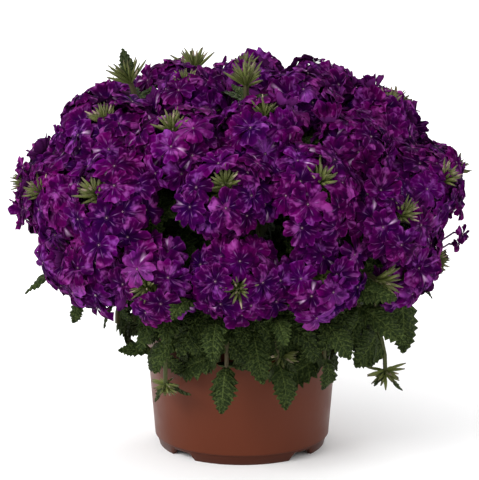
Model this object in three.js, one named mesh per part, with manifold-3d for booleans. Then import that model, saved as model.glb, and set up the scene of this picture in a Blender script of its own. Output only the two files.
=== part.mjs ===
// A potted garden verbena: a square-stemmed leafy plant under a dome of purple flower heads,
// growing in a round nursery pot. Millimetres, +Z up, the origin under the middle of the pot's feet,
// the front of the plant towards -Y.

import * as THREE from 'three';
import * as BufferGeometryUtils from 'three/addons/utils/BufferGeometryUtils.js';
import Module from 'manifold-3d';

const wasm = await Module();
wasm.setup();

// Driving dimensions

// The gap that every two neighbouring pieces keep
const clearance = 0.35;

// The pot
const potRimRadius = 65;
const potHeight = 90;
const potWall = 1.6;
const potSides = 24;
const lipHeight = 5;
const lipReach = 2.1;
const edgeRound = 0.7;
const stepRingRadius = 56.5;
const stepRingHeight = 7.2;
const stepRingBevel = 1.1;
const footRadius = 53.6;
const footWidth = 2.8;
const floorUnder = 5;
const floorThickness = 1.8;
const footNotches = 4;
const footNotchHeight = 6;
const footNotchTopHalfAngle = 7;
const footNotchFootHalfAngle = 11;
const drainHoleRadius = 5;
const drainHoleCircle = 36;
const drainHoles = 4;
const drainHoleSides = 8;

// The soil
const soilLevel = 80;
const soilCrown = 2.5;
const soilCrownRadius = 26;
const stemHoleFloor = 52;

// The canopy of flowers: a flattened ball, widest at its centre's height, that rises further above
// it than it drops below, with an outline rounder or squarer by its power, and its axis stands a
// little to the right of the pot's and in front of it
const canopyCentre = 156;
const canopyRadius = 147;
const canopyRise = 98;
const canopyDrop = 80;
const canopyPower = 2.05;
const canopyShift = [0.5, -2.5];

// Flower heads
const headCount = 44;
const headDepth = 25;
const headRoom = 25.6;
const headReach = 26;
const headUplift = 0.04;
const lowerTilt = 0.3;
const budRoom = 12;
const budPull = 0.3;
const lowestHead = 128;
const lowestHeadFrontLift = 9;
const easingRounds = 400;
const easingPush = 0.3;
const growthRounds = 8;
const growthStep = 1.04;
const largestHead = 1.28;

// Florets in a head: the ring round its middle, and one on top
const floretRadius = 12.1;
const petals = 5;
const petalNotch = 0.9;
const floretThroat = 0.1;
const ringFlorets = 5;
const ringFloretDistance = 23.6;
const ringFloretLean = 53;
const ringFloretTwist = 24;
const topFloretHeight = 17.3;
const topFloretGrowth = 9.7;

// The core of a head, and the hole that its stalk stands in
const coreFoot = 1;
const coreTop = 9;
const coreFootRadius = 7;
const coreTopRadius = 4.4;
const blindHoleDepth = 5.5;
const tuftSeat = 1.5;

// Stems, stalks and leaves
const mainStemRadius = 2.6;
const stalkRadius = 1.7;
const shootRadius = 1.53;
const stemSides = 4;
const stemGroups = 14;
const crownSpread = 27;
const fuseTolerance = 0.17;
const budTuftSize = 1.45;
const headTuftSize = 0.93;
const leafShape = 0.52;
const leafTeeth = 3;
const stalkLeafLength = 36;
const leafyStalkShare = 0.15;

// Flower heads seen from the front: turn in degrees round the pot's axis, 0 at the front and
// positive to the right, the height of the head's centre, and whether a bud tuft stands in it

const frontHeads = [
  [-102, 136, true], [-74, 132, false], [-46, 130, false], [-18, 140, true], [12, 142, true],
  [64, 130, false], [90, 136, true],
  [-86, 170, true], [-59, 172, true], [-33, 174, true], [-5, 182, true], [23, 180, true],
  [50, 172, true], [76, 174, true],
  [-98, 205, false], [-45, 205, true], [-13, 214, true], [22, 212, true], [54, 205, false],
  [86, 206, true],
  [-70, 218, true], [-3, 228, true], [112, 222, false],
];

// Unopened bud heads on leafy tips among the flower heads: turn, height and how far each one
// stands out of the canopy

const budTips = [
  [38, 134, 2], [-75, 214, 13], [-28, 224, 8], [-158, 218, 6], [150, 150, 2], [-128, 152, 2],
];

// Leafy shoots over the pot's rim: turn, how far out they hang, the height of their tip, the size
// of the bud tuft at the tip, if any, and the length of their leaves

const rimShoots = [
  [-39, 74, 54, 0.9, 34], [-12, 68, 72, 0, 40], [20, 69, 74, 1, 40], [43, 70, 66, 0, 38],
  [68, 96, 56, 1.1, 36], [98, 82, 80, 0, 36], [140, 76, 62, 1, 36], [-178, 72, 72, 0, 38],
  [-140, 76, 60, 1, 36], [-98, 80, 76, 0, 36],
];

// How a stalk may bend on its way to its head: how stiffly it leaves and arrives, and an extra lift

const stalkBends = [[16, 0], [22, 0], [11, 0], [26, 6], [16, -6], [30, 0], [6, 4], [22, -10], [34, 10]];

// How a leaf may leave its stem: lean towards the tip, droop in degrees, share of its full length

const leafBends = [
  [0.45, 50, 1], [0.9, 70, 1], [0.1, 35, 0.9], [0.7, 25, 0.8], [0.3, 95, 0.8], [1.4, 60, 0.75],
];

// Vectors

const deg = Math.PI / 180;
const up = new THREE.Vector3(0, 0, 1);

function vec(x, y, z) {
  return new THREE.Vector3(x, y, z);
}

function along(point, direction, distance) {
  return point.clone().addScaledVector(direction, distance);
}

function mix(a, b, share) {
  return a.clone().lerp(b, share);
}

function heading(turn) {
  return vec(Math.sin(turn * deg), -Math.cos(turn * deg), 0);
}

function sideways(direction) {
  const level = Math.hypot(direction.x, direction.y);
  if (level < 0.001) return vec(1, 0, 0);
  return vec(-direction.y / level, direction.x / level, 0);
}

function squareTo(side, direction) {
  return along(side, direction, -side.dot(direction)).normalize();
}

// A repeatable draw between 0 and 1 for anything that has a number

function draw(seed) {
  const wave = Math.sin(seed * 12.9898 + 4.1414) * 43758.5453;
  return wave - Math.floor(wave);
}

function drawBetween(low, high, seed) {
  return low + (high - low) * draw(seed);
}

// Closed meshes from loops of points

class Skin {
  constructor() {
    this.points = [];
    this.faces = [];
  }

  loop(points) {
    const first = this.points.length;
    this.points.push(...points);
    return points.map((point, index) => first + index);
  }

  face(a, b, c) {
    this.faces.push([a, b, c]);
  }

  // The triangles between two loops that both turn round the axis, low nearer its foot than high
  between(low, high, foot, axis, side) {
    const faces = [];
    const across = axis.clone().cross(side);
    const angleOf = (index) => {
      const arm = this.points[index].clone().sub(foot);
      return Math.atan2(arm.dot(across), arm.dot(side));
    };
    const ordered = (ring) => {
      const angles = ring.map(angleOf);
      const start = angles.indexOf(Math.min(...angles));
      return ring.map((value, step) => ring[(start + step) % ring.length]);
    };
    const lower = ordered(low);
    const upper = ordered(high);
    const turnAt = (ring, step) => {
      const laps = Math.floor(step / ring.length);
      return angleOf(ring[step % ring.length]) + laps * 2 * Math.PI;
    };
    let i = 0;
    let j = 0;
    while (i < lower.length || j < upper.length) {
      const lowNow = lower[i % lower.length];
      const highNow = upper[j % upper.length];
      const lowTurn = turnAt(lower, i) + turnAt(lower, i + 1);
      const highTurn = turnAt(upper, j) + turnAt(upper, j + 1);
      if (j >= upper.length || (i < lower.length && lowTurn <= highTurn)) {
        faces.push([lowNow, lower[(i + 1) % lower.length], highNow]);
        i += 1;
      } else {
        faces.push([lowNow, upper[(j + 1) % upper.length], highNow]);
        j += 1;
      }
    }
    return faces;
  }

  band(low, high, foot, axis, side) {
    this.faces.push(...this.between(low, high, foot, axis, side));
  }

  // Joins two open chains of [point, station], the left and the right edge of a strip
  strip(left, right) {
    let i = 0;
    let j = 0;
    while (i < left.length - 1 || j < right.length - 1) {
      const leftEnds = i === left.length - 1;
      const rightEnds = j === right.length - 1;
      const leftFirst = !leftEnds && (rightEnds || left[i + 1][1] <= right[j + 1][1]);
      const next = leftFirst ? left[i + 1][0] : right[j + 1][0];
      if (next !== left[i][0] && next !== right[j][0]) this.face(left[i][0], right[j][0], next);
      if (leftFirst) i += 1;
      else j += 1;
    }
  }

  // Joins two loops of the same number of points, point by point
  wall(low, high) {
    low.forEach((point, index) => {
      const next = (index + 1) % low.length;
      this.face(point, low[next], high[next]);
      this.face(point, high[next], high[index]);
    });
  }

  fan(ring, tip) {
    const [apex] = this.loop([tip]);
    ring.forEach((point, index) => {
      this.face(point, ring[(index + 1) % ring.length], apex);
    });
  }

  cap(ring) {
    for (let index = 1; index < ring.length - 1; index += 1) {
      this.face(ring[0], ring[index], ring[index + 1]);
    }
  }

  solid() {
    const vertProperties = new Float32Array(this.points.flatMap((point) => point.toArray()));
    const triVerts = new Uint32Array(this.faces.flat());
    return new wasm.Manifold(new wasm.Mesh({ numProp: 3, vertProperties, triVerts }));
  }
}

// Solids and geometries

function solidOf(geometry) {
  const bare = geometry.clone();
  bare.deleteAttribute('normal');
  bare.deleteAttribute('uv');
  const merged = BufferGeometryUtils.mergeVertices(bare, 1e-4);
  const vertProperties = new Float32Array(merged.attributes.position.array);
  const triVerts = new Uint32Array(merged.index.array);
  return new wasm.Manifold(new wasm.Mesh({ numProp: 3, vertProperties, triVerts }));
}

function geometryOf(solid) {
  const mesh = solid.getMesh();
  const positions = [];
  for (let index = 0; index < mesh.numVert; index += 1) {
    positions.push(...mesh.vertProperties.slice(index * mesh.numProp, index * mesh.numProp + 3));
  }
  const geometry = new THREE.BufferGeometry();
  geometry.setAttribute('position', new THREE.Float32BufferAttribute(positions, 3));
  geometry.setIndex(Array.from(mesh.triVerts));
  geometry.computeVertexNormals();
  return geometry;
}

function lathe(profile, sides) {
  const points = profile.map(([radius, height]) => new THREE.Vector2(radius, height));
  return new THREE.LatheGeometry(points, sides).rotateX(Math.PI / 2);
}

function largestPiece(solid) {
  const pieces = solid.decompose();
  return pieces.reduce((best, piece) => (piece.volume() > best.volume() ? piece : best));
}

// The pot

const wallTopRadius = potRimRadius - lipReach;
const floorTop = floorUnder + floorThickness;

function potInnerRadius(height) {
  const wallFoot = stepRingRadius - potWall;
  const wallTop = wallTopRadius - potWall + 0.6;
  return wallFoot + (wallTop - wallFoot) * (height / potHeight);
}

function footNotch(turn) {
  const far = footRadius + 8;
  const near = footRadius - footWidth - 6;
  const halfTop = far * Math.tan(footNotchTopHalfAngle * deg);
  const halfFoot = far * Math.tan(footNotchFootHalfAngle * deg);
  const underFloor = Math.min(footNotchHeight, floorUnder) - 0.4;
  const outline = new THREE.Shape([
    new THREE.Vector2(-halfFoot, -1),
    new THREE.Vector2(halfFoot, -1),
    new THREE.Vector2(halfTop, underFloor),
    new THREE.Vector2(-halfTop, underFloor),
  ]);
  const wedge = new THREE.ExtrudeGeometry(outline, { depth: far - near, bevelEnabled: false });
  wedge.rotateX(Math.PI / 2).translate(0, -near, 0).rotateZ(turn * deg);
  return solidOf(wedge);
}

function drainHole(turn) {
  const depth = 4 * floorThickness;
  const hole = new THREE.CylinderGeometry(drainHoleRadius, drainHoleRadius, depth, drainHoleSides);
  hole.rotateX(Math.PI / 2).translate(0, -drainHoleCircle, floorUnder).rotateZ(turn * deg);
  return solidOf(hole);
}

function pot() {
  const lipFoot = potHeight - lipHeight;
  const profile = [
    [0, floorUnder],
    [footRadius - footWidth, floorUnder],
    [footRadius - footWidth, 0],
    [footRadius, 0],
    [stepRingRadius - stepRingBevel, stepRingHeight - stepRingBevel / 2],
    [stepRingRadius, stepRingHeight],
    [wallTopRadius, lipFoot - edgeRound],
    [potRimRadius, lipFoot],
    [potRimRadius, potHeight - edgeRound],
    [potRimRadius - edgeRound, potHeight],
    [potInnerRadius(potHeight), potHeight],
    [potInnerRadius(floorTop), floorTop],
    [0, floorTop],
  ];
  let body = solidOf(lathe(profile, potSides));
  for (let notch = 0; notch < footNotches; notch += 1) {
    body = body.subtract(footNotch((notch + 0.5) * 360 / footNotches));
  }
  for (let hole = 0; hole < drainHoles; hole += 1) {
    body = body.subtract(drainHole(hole * 360 / drainHoles));
  }
  return body;
}

// The canopy that the flower heads lie on: a flattened ball with its widest girth at its centre

const spotRadius = canopyRadius - headDepth;
const spotRise = canopyRise - headDepth;
const spotDrop = canopyDrop - headDepth;

function halfHeightAt(height) {
  return height > canopyCentre ? spotRise : spotDrop;
}

function canopyLevel(point) {
  const across = Math.hypot(point.x, point.y) / spotRadius;
  const rise = Math.abs(point.z - canopyCentre) / halfHeightAt(point.z);
  return across ** canopyPower + rise ** canopyPower;
}

function ontoCanopy(point) {
  const arm = vec(point.x, point.y, point.z - canopyCentre);
  const stretch = canopyLevel(point) ** (-1 / canopyPower);
  return vec(arm.x * stretch, arm.y * stretch, canopyCentre + arm.z * stretch);
}

function canopySpot(turn, height) {
  const rise = Math.abs(height - canopyCentre) / halfHeightAt(height);
  const across = Math.max(0, 1 - rise ** canopyPower) ** (1 / canopyPower);
  return heading(turn).multiplyScalar(across * spotRadius).setZ(height);
}

// Where the canopy faces, but the lowest heads hang their faces only a little
function canopyFacing(point) {
  const half = halfHeightAt(point.z);
  const across = Math.hypot(point.x, point.y) / spotRadius;
  const rise = Math.abs(point.z - canopyCentre) / half;
  const out = across ** (canopyPower - 1) / spotRadius;
  const tilt = point.z > canopyCentre ? 1 : -lowerTilt;
  const tall = tilt * rise ** (canopyPower - 1) / half;
  return vec(point.x, point.y, 0).normalize().multiplyScalar(out).setZ(tall).normalize();
}

// Where each flower head and bud tip stands: the ones at the front as seen, the others in the
// widest room that is left, and then all of them eased apart until each has its own room

function bloomSpot(place, tufted) {
  return { kind: 'bloom', place, tufted, proud: 0, room: headRoom, pull: 1 };
}

function budSpot(place, proud) {
  return { kind: 'bud', place, tufted: true, proud, room: budRoom, pull: budPull };
}

// Spare places that wind up the canopy by the golden angle
function sparePlaces() {
  const goldenAngle = 137.508;
  const tries = 500;
  const top = canopyCentre + spotRise - 1;
  const places = [];
  for (let index = 0; index < tries; index += 1) {
    const height = lowestHead + (top - lowestHead) * ((index + 0.5) / tries) ** 0.9;
    places.push(canopySpot(index * goldenAngle, height));
  }
  return places;
}

function roomAt(place, taken) {
  return Math.min(...taken.map((other) => other.place.distanceTo(place) - other.room));
}

// The lowest heads at the front hang less deep than those at the sides
function lowestAt(point) {
  const front = Math.max(0, -point.y) / Math.hypot(point.x, point.y);
  return lowestHead + lowestHeadFrontLift * front ** 2;
}

function easeApart(taken) {
  for (let round = 0; round < easingRounds; round += 1) {
    const pushes = taken.map(() => vec(0, 0, 0));
    taken.forEach((one, i) => {
      taken.slice(i + 1).forEach((two, k) => {
        const arm = two.place.clone().sub(one.place);
        const short = one.room + two.room - arm.length();
        if (short <= 0) return;
        arm.normalize().multiplyScalar(short * easingPush);
        pushes[i].addScaledVector(arm, -one.pull);
        pushes[i + 1 + k].addScaledVector(arm, two.pull);
      });
    });
    taken.forEach((one, i) => {
      const moved = one.place.clone().add(pushes[i]);
      moved.z = Math.max(moved.z, lowestAt(moved));
      one.place = ontoCanopy(moved);
    });
  }
}

function allSpots() {
  const taken = frontHeads.map(([turn, height, tufted]) => (
    bloomSpot(canopySpot(turn, height), tufted)));
  taken.push(...budTips.map(([turn, height, proud]) => budSpot(canopySpot(turn, height), proud)));
  const spare = sparePlaces();
  const count = headCount + budTips.length;
  while (taken.length < count) {
    const widest = spare.reduce((best, place) => (
      roomAt(place, taken) > roomAt(best, taken) ? place : best));
    taken.push(bloomSpot(widest, taken.length % 2 === 0));
  }
  easeApart(taken);
  return taken;
}

function finishSpot(one, index, taken) {
  const others = taken.filter((other) => other !== one);
  const nearest = Math.min(...others.map((other) => (
    other.place.distanceTo(one.place) * one.room / (one.room + other.room))));
  const facing = canopyFacing(one.place).addScaledVector(up, headUplift).normalize();
  const scale = (nearest - clearance) / headReach;
  const [right, back] = canopyShift;
  const place = along(one.place, facing, one.proud).add(vec(right, back, 0));
  return { ...one, index, place, scale, facing, side: sideways(facing) };
}

// A flower head: five funnel-shaped florets round a small ring-shaped core, overlapping like
// roof tiles, and either a sixth floret on top or room for the bud tuft in the middle

const stalkHoleRadius = stalkRadius + clearance * Math.SQRT2;

function headPoint(head, radius, turn, height) {
  const across = head.facing.clone().cross(head.side);
  const level = along(head.place, head.facing, height);
  const out = head.side.clone().multiplyScalar(Math.cos(turn * deg) * radius);
  return level.add(out).addScaledVector(across, Math.sin(turn * deg) * radius);
}

function headRing(head, radius, height, corners, start) {
  const ring = [];
  for (let corner = 0; corner < corners; corner += 1) {
    ring.push(headPoint(head, radius, start + corner * 360 / corners, height));
  }
  return ring;
}

function floretOutline(centre, facing, side, radius, seed) {
  const across = facing.clone().cross(side);
  const outline = [];
  const spin = drawBetween(0, 72, seed);
  // Each petal is a notch beside the petal before it and then its two corners
  for (let petal = 0; petal < petals; petal += 1) {
    const middle = spin + petal * 360 / petals;
    const size = radius * drawBetween(0.94, 1, seed + petal * 7.7);
    const lift = drawBetween(-0.1, 0.1, seed + petal * 3.1) * radius;
    const notch = [-36, radius * 0.4, -0.04 * radius];
    const marks = [notch, [-19, size, lift], [18, size, lift - petalNotch]];
    for (const [turn, reach, height] of marks) {
      const angle = (middle + turn) * deg;
      const point = along(centre, side, Math.cos(angle) * reach);
      point.addScaledVector(across, Math.sin(angle) * reach);
      outline.push(point.addScaledVector(facing, height));
    }
  }
  return outline;
}

// A floret grows from the loop of points given as its foot
function addFloret(skin, foot, centre, facing, side, radius, seed) {
  const rim = skin.loop(floretOutline(centre, facing, side, radius, seed));
  const root = foot.reduce((sum, index) => sum.add(skin.points[index]), vec(0, 0, 0));
  root.divideScalar(foot.length);
  const axis = centre.clone().sub(root).normalize();
  skin.band(foot, rim, root, axis, squareTo(side, axis));
  skin.fan(rim, along(centre, facing, -floretThroat * radius));
}

function flowerHead(head) {
  const skin = new Skin();
  const { scale } = head;
  const corners = ringFlorets;
  const step = 360 / corners;
  const start = draw(head.index + 0.5) * step;
  const footRing = skin.loop(headRing(head, coreFootRadius, coreFoot, corners, start));
  const topRing = skin.loop(headRing(head, coreTopRadius, coreTop, corners, start));
  const holeMouth = skin.loop(headRing(head, stalkHoleRadius, coreFoot, stemSides, 0));
  const lower = (ring) => [...ring].reverse();

  for (let index = 0; index < corners; index += 1) {
    const next = (index + 1) % corners;
    const turn = start + (index + 0.5) * step;
    const lean = (ringFloretLean + drawBetween(-1.5, 1.5, head.index * 9 + index)) * deg;
    const out = headPoint(head, 1, turn, 0).sub(head.place);
    const centre = along(head.place, out, Math.sin(lean) * ringFloretDistance * scale);
    centre.addScaledVector(head.facing, Math.cos(lean) * ringFloretDistance);
    const facing = out.clone().multiplyScalar(Math.sin(lean));
    facing.addScaledVector(head.facing, Math.cos(lean));
    const round = head.facing.clone().cross(out);
    facing.addScaledVector(round, Math.tan(ringFloretTwist * deg)).normalize();
    const side = squareTo(round, facing);
    const foot = [footRing[index], footRing[next], topRing[next], topRing[index]];
    const seed = head.index * 31 + index * 5;
    addFloret(skin, foot, centre, facing, side, floretRadius * scale, seed);
  }

  const backwards = head.facing.clone().negate();
  skin.band(lower(footRing), lower(holeMouth), head.place, backwards, head.side);
  if (head.tufted) {
    const holeTop = skin.loop(headRing(head, stalkHoleRadius, coreTop, stemSides, 0));
    skin.wall(lower(holeMouth), lower(holeTop));
    skin.band(topRing, holeTop, head.place, head.facing, head.side);
  } else {
    const depth = coreFoot + blindHoleDepth;
    const holeEnd = skin.loop(headRing(head, stalkHoleRadius, depth, stemSides, 0));
    skin.wall(lower(holeMouth), lower(holeEnd));
    skin.cap(lower(holeEnd));
    const tip = along(head.place, head.facing, topFloretHeight + topFloretGrowth * scale);
    const seed = head.index * 31 + 29;
    addFloret(skin, topRing, tip, head.facing, head.side, floretRadius * scale, seed);
  }
  return skin.solid();
}

// Each head grows in small steps for as long as it stays clear of the heads round it
function grownHeads(all) {
  const solids = all.map(flowerHead);
  const boxes = solids.map((solid) => solid.boundingBox());
  for (let round = 0; round < growthRounds; round += 1) {
    all.forEach((head, index) => {
      head.scale *= growthStep;
      const larger = flowerHead(head);
      const box = larger.boundingBox();
      const free = head.scale < largestHead && solids.every((other, place) => (
        place === index || apart(box, boxes[place], clearance)
        || larger.minGap(other, 2 * clearance) > clearance));
      if (free) {
        solids[index] = larger;
        boxes[index] = box;
      } else {
        head.scale /= growthStep;
      }
    });
  }
  return solids;
}

// Square stems, calyx tufts and leaves

function tubeRings(skin, points, radii, side) {
  return points.map((point, index) => {
    const behind = points[Math.max(index - 1, 0)];
    const ahead = points[Math.min(index + 1, points.length - 1)];
    const direction = ahead.clone().sub(behind).normalize();
    const first = squareTo(side, direction);
    const second = direction.clone().cross(first);
    const arms = [first, second, first.clone().negate(), second.clone().negate()];
    return skin.loop(arms.map((arm) => along(point, arm, radii[index])));
  });
}

function tube(points, radii, side) {
  const skin = new Skin();
  const rings = tubeRings(skin, points, radii, side);
  rings.slice(1).forEach((ring, index) => skin.wall(rings[index], ring));
  skin.cap([...rings[0]].reverse());
  return { skin, end: rings[rings.length - 1] };
}

// A star of narrow calyces that ends a stalk: each grows from one triangle of a small knob
function addTuft(skin, ring, tip, facing, side, size, seed) {
  const across = facing.clone().cross(side);
  const ringOf = (corners, radius, height, start) => {
    const points = [];
    for (let corner = 0; corner < corners; corner += 1) {
      const angle = (start + corner * 360 / corners) * deg;
      const point = along(tip, facing, height).addScaledVector(side, Math.cos(angle) * radius);
      points.push(point.addScaledVector(across, Math.sin(angle) * radius));
    }
    return skin.loop(points);
  };
  const wide = ringOf(5, 2.7 * size, 2.2 * size, 9);
  const narrow = ringOf(3, 1.3 * size, 4 * size, 30);
  skin.band(ring, wide, tip, facing, side);
  const seats = [...skin.between(wide, narrow, tip, facing, side), narrow];
  seats.forEach((seat, index) => {
    const middle = seat.reduce((sum, point) => sum.add(skin.points[point]), vec(0, 0, 0));
    middle.divideScalar(3);
    const out = squareTo(middle.clone().sub(tip).normalize(), facing);
    const outerCorners = seat.filter((point) => wide.includes(point)).length;
    const lean = [8, 20, 36][outerCorners];
    const turned = (lean + drawBetween(-5, 5, seed + index)) * deg;
    const direction = facing.clone().multiplyScalar(Math.cos(turned));
    direction.addScaledVector(out, Math.sin(turned));
    const length = drawBetween(7.5, 9.8, seed + index * 2.3) * size;
    skin.fan(seat, along(middle, direction, length));
  });
}

// A leaf: an arched blade with deep teeth, thick at its midrib and thin at its edge
function leaf(root, direction, normal, length, width, droop, seed) {
  const side = direction.clone().cross(normal).normalize();
  const above = side.clone().cross(direction).normalize();
  const bend = droop * deg;
  const at = (station, across, lift) => {
    const turned = bend * station;
    const forward = length / bend * Math.sin(turned);
    const down = length / bend * (1 - Math.cos(turned));
    const point = along(root, direction, forward).addScaledVector(above, -down);
    point.addScaledVector(side, across);
    const rise = lift - Math.abs(across) * 0.16;
    point.addScaledVector(above, Math.cos(turned) * rise);
    return point.addScaledVector(direction, Math.sin(turned) * rise);
  };
  const skin = new Skin();
  const edge = (sign) => {
    const chain = [[skin.loop([at(0, sign * 0.9, 0)])[0], 0]];
    for (let tooth = 0; tooth < leafTeeth; tooth += 1) {
      const share = (tooth + 0.6) / (leafTeeth + 0.6);
      const reach = width / 2 * Math.sin(Math.PI * (share * 0.86 + 0.1)) ** 0.7;
      const station = 0.16 + 0.84 * share;
      const wobble = drawBetween(0.88, 1.06, seed + tooth + sign);
      chain.push([skin.loop([at(station, sign * reach * wobble, 0)])[0], station]);
      if (tooth < leafTeeth - 1) {
        const dip = station + 0.3 / (leafTeeth + 0.6);
        chain.push([skin.loop([at(dip, sign * reach * 0.66, 0)])[0], dip]);
      }
    }
    return chain;
  };
  const midrib = (sign) => [0, 0.36, 0.7].map((station) => {
    const thick = station === 0 ? 0.75 : 0.62;
    return [skin.loop([at(station, 0, sign * thick)])[0], station];
  });
  const tip = [skin.loop([at(1, 0, 0)])[0], 1];
  const right = [...edge(1), tip];
  const left = [...edge(-1), tip];
  const over = [...midrib(1), tip];
  const under = [...midrib(-1), tip];
  skin.strip(left, over);
  skin.strip(over, right);
  skin.strip(right, under);
  skin.strip(under, left);
  skin.cap([right[0][0], over[0][0], left[0][0], under[0][0]]);
  return skin.solid();
}

// What each new stalk or leaf has to stay clear of

const standing = [];

function stand(solid, owner) {
  standing.push({ solid, owner, box: solid.boundingBox() });
  return solid;
}

function apart(one, two, gap) {
  return [0, 1, 2].some((axis) => (
    one.min[axis] > two.max[axis] + gap || two.min[axis] > one.max[axis] + gap));
}

function isClear(solid, owner) {
  const box = solid.boundingBox();
  return standing.every((other) => (
    other.owner === owner || apart(box, other.box, clearance)
    || solid.minGap(other.solid, 2 * clearance) > clearance * 0.98));
}

// The soil, with a plain hole for each stem

function soilBody() {
  const shy = clearance * 1.1;
  const foot = floorTop + clearance;
  const rim = soilLevel - 0.6;
  const profile = [
    [0, foot],
    [potInnerRadius(foot) - shy, foot],
    [potInnerRadius(rim) - shy, rim],
    [soilCrownRadius, soilLevel + soilCrown],
    [0, soilLevel + soilCrown - 0.6],
  ];
  return solidOf(lathe(profile, potSides));
}

// Stems: the heads are shared out by the direction they lie in, seen from the plant's crown

const crown = vec(0, 0, soilLevel - 6);

function stemShares(all) {
  const directionOf = (one) => one.place.clone().sub(crown).normalize();
  const directions = all.map(directionOf);
  const middles = [directions[0]];
  while (middles.length < stemGroups) {
    const lonely = (direction) => Math.max(...middles.map((middle) => middle.dot(direction)));
    middles.push(directions.reduce((best, one) => (lonely(one) < lonely(best) ? one : best)));
  }
  let shares = [];
  for (let round = 0; round < 12; round += 1) {
    shares = middles.map(() => []);
    directions.forEach((direction, index) => {
      const fits = middles.map((middle) => middle.dot(direction));
      shares[fits.indexOf(Math.max(...fits))].push(index);
    });
    shares.forEach((share, group) => {
      const sum = share.reduce((total, index) => total.add(directions[index]), vec(0, 0, 0));
      if (share.length > 0) middles[group] = sum.normalize();
    });
  }
  return shares.map((share, group) => {
    const members = share.map((index) => all[index]);
    return { members, middle: middles[group] };
  });
}

function curve(from, start, finish, to, steps) {
  const bezier = new THREE.CubicBezierCurve3(from, start, finish, to);
  return bezier.getPoints(steps);
}

function stemOf(share, group) {
  const { members, middle } = share;
  const foot = vec(middle.x, middle.y, 0).multiplyScalar(crownSpread);
  foot.setZ(stemHoleFloor + clearance);
  const collar = foot.clone().setZ(soilLevel + 5);
  const nearest = Math.min(...members.map((one) => one.place.distanceTo(collar)));
  const fork = along(collar, middle, nearest * 0.42);
  const elbow = along(collar, up, nearest * 0.14).add(fork).multiplyScalar(0.5);
  const straight = (one) => one.place.clone().sub(crown).normalize().dot(middle);
  const ordered = [...members].sort((one, two) => straight(two) - straight(one));
  const { side } = ordered[0];
  const route = { foot, collar, elbow, fork };
  const made = { solids: [], runs: [], leaves: [] };
  return { owner: `stem_${group}`, members: ordered, middle, side, ...route, ...made };
}

function stemHole(stem) {
  const depth = [stem.foot.clone().setZ(stemHoleFloor), stem.collar.clone().setZ(soilLevel + 20)];
  const radius = mainStemRadius + 1.17 * clearance * Math.SQRT2;
  const made = tube(depth, [radius, radius], stem.side);
  made.skin.cap(made.end);
  return made.skin.solid();
}

// The leading stalk is the main stem carried on; the others leave it one below the other
function stalk(stem, one, place, pull, spread) {
  const leading = place === 0;
  const start = leading ? stem.fork : mix(stem.elbow, stem.fork, 1.06 - 0.2 * place);
  const neck = along(one.place, one.facing, -7);
  const aim = leading ? stem.middle : along(neck, one.facing, -pull).sub(start).normalize();
  const bend = along(start, aim, pull).addScaledVector(up, spread);
  const run = curve(start, bend, along(neck, one.facing, -pull), neck, 2);
  const top = one.tufted ? coreTop + tuftSeat : coreFoot + blindHoleDepth - clearance;
  const tip = along(one.place, one.facing, top);
  const foot = leading ? [stem.foot, stem.collar, stem.elbow] : [];
  const points = [...foot, ...run, along(one.place, one.facing, -1), tip];
  const radii = points.map((point, index) => (index < foot.length ? mainStemRadius : stalkRadius));
  const made = tube(points, radii, one.side);
  const size = one.kind === 'bud' ? budTuftSize : one.scale * headTuftSize;
  if (one.tufted) addTuft(made.skin, made.end, tip, one.facing, one.side, size, one.index * 13);
  else made.skin.cap(made.end);
  return { solid: made.skin.solid(), points: run, one };
}

function addStalks(stem) {
  stem.members.forEach((one, place) => {
    const tries = stalkBends.map(([pull, spread]) => stalk(stem, one, place, pull, spread));
    const run = tries.find((tried) => isClear(tried.solid, stem.owner)) ?? tries[0];
    stem.solids.push(run.solid);
    stand(run.solid, stem.owner);
    stem.runs.push(run);
  });
}

// A leafy shoot that arches over the pot's rim, hangs down and may end in a small bud tuft
function addShoot(stem, turn, reach, height, tuft, seed) {
  const start = mix(stem.collar, stem.elbow, 0.3);
  const out = heading(turn);
  const over = out.clone().multiplyScalar(potRimRadius - 12).setZ(potHeight + 26);
  const edge = out.clone().multiplyScalar(reach + 4).setZ(potHeight + 16);
  const end = out.clone().multiplyScalar(reach + 2).setZ(height);
  const points = curve(start, over, edge, end, 5);
  const side = sideways(out);
  const made = tube(points, points.map(() => shootRadius), side);
  const facing = end.clone().sub(points[points.length - 2]).normalize();
  if (tuft > 0) addTuft(made.skin, made.end, end, facing, squareTo(side, facing), tuft, seed);
  else made.skin.cap(made.end);
  const solid = made.skin.solid();
  stem.solids.push(solid);
  stand(solid, stem.owner);
  return points;
}

function addLeafyShoot([turn, reach, height, tuft, leafLength]) {
  const level = (stem) => stem.middle.clone().setZ(0).dot(heading(turn));
  const nearest = stems.reduce((best, stem) => (level(stem) > level(best) ? stem : best));
  const points = addShoot(nearest, turn, reach, height, tuft, turn + 400);
  const last = tuft > 0 ? 0.78 : 0.95;
  const marks = [[0.42, turn + 500], [0.62, turn + 550], [last, turn + 600]];
  addLeaves(nearest, points, marks, leafLength, along(up, heading(turn), 1.6));
}

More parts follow.
